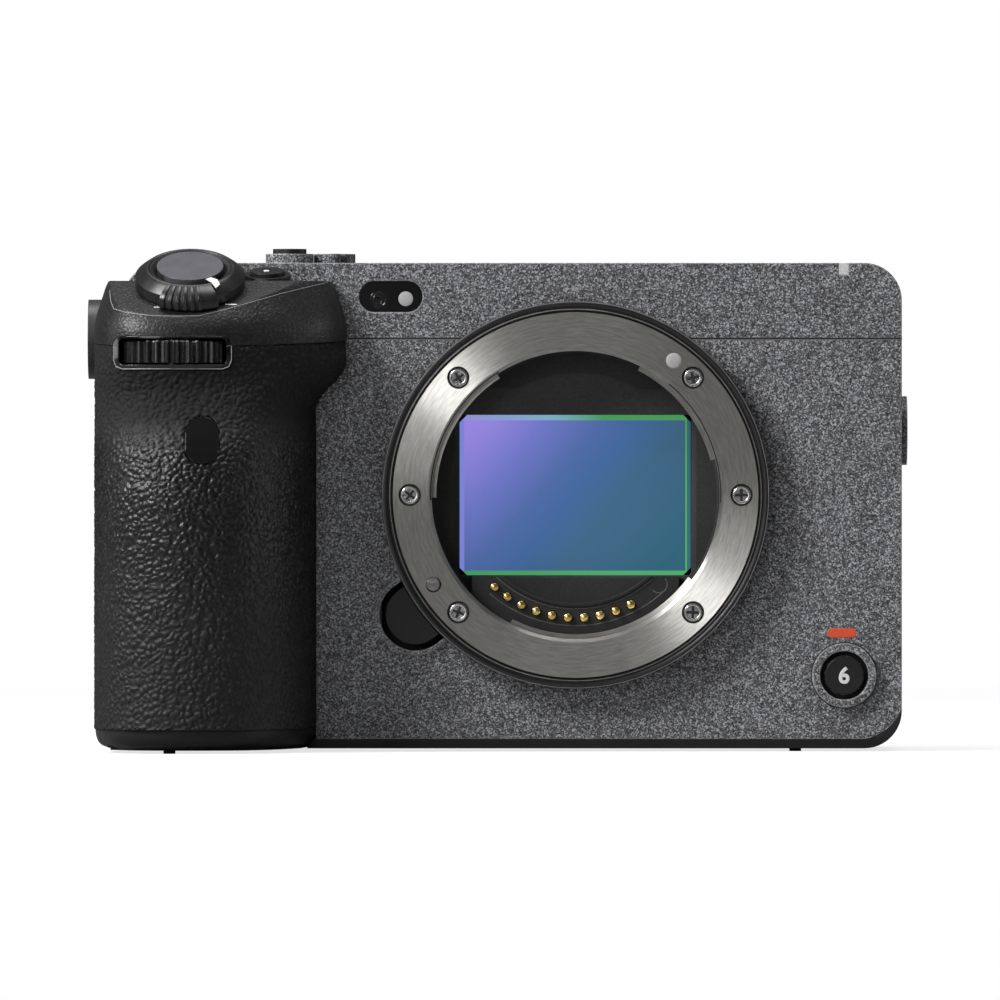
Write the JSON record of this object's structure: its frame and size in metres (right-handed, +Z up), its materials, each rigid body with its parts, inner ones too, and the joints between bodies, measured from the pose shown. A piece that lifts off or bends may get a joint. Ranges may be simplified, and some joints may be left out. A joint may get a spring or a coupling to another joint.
{
  "type": "cinema camera",
  "caption": "Box-shaped cinema camera body with an open lens mount, hand grip, swing-out monitor and threaded fixing points.",
  "frame": {"origin": "mouth of the tripod socket in the base, below the optical axis", "axes": "+X to the right seen from the front, -Y out of the lens mount, +Z up"},
  "size_m": [0.1319, 0.0847, 0.0807],
  "materials": {
    "body_paint": "speckled dark grey paint on cast alloy",
    "black_plastic": "fine textured black plastic",
    "grip_leather": "pebbled black grip covering",
    "gloss_black": "glossy black plastic",
    "mount_steel": "circular brushed bayonet ring",
    "screw_steel": "small steel screws and bushes",
    "spring_steel": "spring leaves",
    "gold": "gold plated contacts",
    "inner_black": "light absorbing black",
    "chassis_alloy": "cast alloy",
    "sensor_glass": "coated filter glass",
    "sensor_chip": "sensor package",
    "board_green": "circuit board",
    "heat_alloy": "heat sink alloy",
    "battery_case": "battery case",
    "screen_glass": "monitor screen",
    "button_grey": "satin grey button",
    "button_black": "satin black button",
    "button_red": "satin red button",
    "window_smoke": "smoked window",
    "tally_plastic": "pale lamp window"
  },
  "bodies": {
    "camera_body": {"front_cover": "body_paint", "top_cover": "body_paint", "side_cover": "body_paint", "rear_cover": "black_plastic", "bottom_cover": "black_plastic", "chassis": "chassis_alloy", "grip_core": "black_plastic", "grip_leather": "grip_leather", "grip_top_cover": "black_plastic", "case_screws": "screw_steel", "tripod_socket": "screw_steel", "thread_bushes": "screw_steel", "base_feet": "black_plastic", "mount_trim_ring": "black_plastic", "lens_mount_ring": "mount_steel", "mount_screws": "screw_steel", "mount_springs": "spring_steel", "contact_block": "inner_black", "light_baffle": "inner_black", "shutter_frame": "inner_black", "stabiliser_base": "chassis_alloy", "main_board": "board_green", "heat_sink": "heat_alloy", "battery": "battery_case", "card_slots": "screw_steel", "port_sockets": "screw_steel", "front_dial_bezel": "gloss_black", "accessory_shoe": "screw_steel", "tally_window": "tally_plastic", "front_windows": "window_smoke"},
    "contact_pins": {"contact_pins": "gold"},
    "lock_pin": {"lens_lock_pin": "screw_steel"},
    "release_button": {"lens_release_button": "black_plastic"},
    "curtain": {"shutter_curtain": "inner_black"},
    "carriage": {"stabiliser_carriage": "chassis_alloy"},
    "stage": {"sensor_stage": "chassis_alloy", "image_sensor": "sensor_chip", "sensor_glass": "sensor_glass"},
    "fan": {"cooling_fan": "inner_black"},
    "battery_door": {"battery_door": "black_plastic"},
    "battery_latch": {"battery_latch": "button_grey"},
    "card_door": {"card_door": "black_plastic"},
    "port_door_front": {"port_door_front": "black_plastic"},
    "port_door_rear": {"port_door_rear": "black_plastic"},
    "monitor": {"monitor_panel": "black_plastic", "monitor_screen": "screen_glass", "monitor_hinge": "black_plastic"},
    "front_dial": {"front_dial": "button_black"},
    "zoom_lever": {"zoom_lever": "button_black"},
    "shutter_button": {"shutter_button": "button_grey"},
    "iso_button": {"iso_button": "button_black"},
    "white_balance_button": {"white_balance_button": "button_black"},
    "top_record_button": {"top_record_button": "button_red"},
    "front_record_button": {"front_record_button": "button_black"},
    "power_switch": {"power_switch": "button_grey"},
    "rear_dial": {"rear_dial": "button_black"},
    "control_wheel": {"control_wheel": "button_black"},
    "joystick": {"joystick": "button_black"},
    "menu_button": {"menu_button": "button_black"},
    "playback_button": {"playback_button": "button_black"}
  },
  "joints": [
    {"name": "contact_pins_press", "type": "slide", "parent": "camera_body", "child": "contact_pins", "axis": [0, 1, 0], "range_m": [0, 0.0005], "stiffness_N_per_m": 400, "springref_m": -0.0005},
    {"name": "lens_release_press", "type": "slide", "parent": "camera_body", "child": "release_button", "axis": [0, 1, 0], "range_m": [0, 0.0012], "stiffness_N_per_m": 400, "springref_m": -0.0005},
    {"name": "lens_lock_retract", "type": "slide", "parent": "camera_body", "child": "lock_pin", "axis": [0, 1, 0], "range_m": [0, 0.0012]},
    {"name": "shutter_curtain_travel", "type": "slide", "parent": "camera_body", "child": "curtain", "axis": [0, 0, 1], "range_m": [0, 0.0258]},
    {"name": "sensor_shift_sideways", "type": "slide", "parent": "camera_body", "child": "carriage", "axis": [1, 0, 0], "range_m": [-0.0015, 0.0015], "stiffness_N_per_m": 3000},
    {"name": "sensor_shift_upright", "type": "slide", "parent": "carriage", "child": "stage", "axis": [0, 0, 1], "range_m": [-0.0015, 0.0015], "stiffness_N_per_m": 3000},
    {"name": "fan_spin", "type": "hinge", "parent": "camera_body", "child": "fan", "pos_m": [0.022, 0.012, 0.038], "axis": [0, 1, 0], "continuous": true},
    {"name": "battery_door_swing", "type": "hinge", "parent": "camera_body", "child": "battery_door", "pos_m": [-0.0515, -0.01285, 0.0007], "axis": [0, -1, 0], "range_deg": [0, 100]},
    {"name": "battery_latch_slide", "type": "slide", "parent": "battery_door", "child": "battery_latch", "axis": [0, 1, 0], "range_m": [0, 0.002], "stiffness_N_per_m": 150, "springref_m": -0.0005},
    {"name": "card_door_swing", "type": "hinge", "parent": "camera_body", "child": "card_door", "pos_m": [-0.0755, 0.0189, 0.031], "axis": [0, 0, -1], "range_deg": [0, 100]},
    {"name": "front_port_door_swing", "type": "hinge", "parent": "camera_body", "child": "port_door_front", "pos_m": [0.0516, -0.0058, 0.024], "axis": [0, 0, -1], "range_deg": [0, 100]},
    {"name": "rear_port_door_swing", "type": "hinge", "parent": "camera_body", "child": "port_door_rear", "pos_m": [0.0516, 0.0186, 0.024], "axis": [0, 0, 1], "range_deg": [0, 100]},
    {"name": "monitor_swing", "type": "hinge", "parent": "camera_body", "child": "monitor", "pos_m": [0.0482, 0.0311, 0.035], "axis": [0, 0, -1], "range_deg": [0, 176]},
    {"name": "front_dial_turn", "type": "hinge", "parent": "camera_body", "child": "front_dial", "pos_m": [-0.06415, -0.031, 0.0634], "axis": [0, 0, 1], "continuous": true},
    {"name": "rear_dial_turn", "type": "hinge", "parent": "camera_body", "child": "rear_dial", "pos_m": [-0.06, 0.0206, 0.0715], "axis": [0, 0, 1], "continuous": true},
    {"name": "control_wheel_turn", "type": "hinge", "parent": "camera_body", "child": "control_wheel", "pos_m": [-0.05, 0.031, 0.024], "axis": [0, 1, 0], "continuous": true},
    {"name": "zoom_lever_turn", "type": "hinge", "parent": "camera_body", "child": "zoom_lever", "pos_m": [-0.0615, -0.02685, 0.074], "axis": [0, -0.4384, 0.8988], "range_deg": [-18, 18], "stiffness_Nm_per_rad": 0.02},
    {"name": "shutter_button_press", "type": "slide", "parent": "camera_body", "child": "shutter_button", "axis": [0, 0.4384, -0.8988], "range_m": [0, 0.0008], "stiffness_N_per_m": 400, "springref_m": -0.0005},
    {"name": "iso_button_press", "type": "slide", "parent": "camera_body", "child": "iso_button", "axis": [0, 0.225, -0.9744], "range_m": [0, 0.0005], "stiffness_N_per_m": 400, "springref_m": -0.0005},
    {"name": "white_balance_press", "type": "slide", "parent": "camera_body", "child": "white_balance_button", "axis": [0, 0, -1], "range_m": [0, 0.0005], "stiffness_N_per_m": 400, "springref_m": -0.0005},
    {"name": "top_record_press", "type": "slide", "parent": "camera_body", "child": "top_record_button", "axis": [0, 0, -1], "range_m": [0, 0.0004], "stiffness_N_per_m": 400, "springref_m": -0.0005},
    {"name": "front_record_press", "type": "slide", "parent": "camera_body", "child": "front_record_button", "axis": [0, 1, 0], "range_m": [0, 0.0005], "stiffness_N_per_m": 400, "springref_m": -0.0005},
    {"name": "power_switch_turn", "type": "hinge", "parent": "camera_body", "child": "power_switch", "pos_m": [-0.03875, -0.003, 0.0785], "axis": [0, 0, 1], "range_deg": [0, 40]},
    {"name": "joystick_tilt", "type": "hinge", "parent": "camera_body", "child": "joystick", "pos_m": [-0.0385, 0.0304, 0.051], "axis": [1, 0, 0], "range_deg": [-7, 7], "stiffness_Nm_per_rad": 0.01},
    {"name": "menu_press", "type": "slide", "parent": "camera_body", "child": "menu_button", "axis": [0, -1, 0], "range_m": [0, 0.0005], "stiffness_N_per_m": 400, "springref_m": -0.0005},
    {"name": "playback_press", "type": "slide", "parent": "camera_body", "child": "playback_button", "axis": [0, -1, 0], "range_m": [0, 0.0005], "stiffness_N_per_m": 400, "springref_m": -0.0005}
  ],
  "couplings": [
    {"joint": "lens_lock_retract", "follows": "lens_release_press", "ratio": 1}
  ]
}
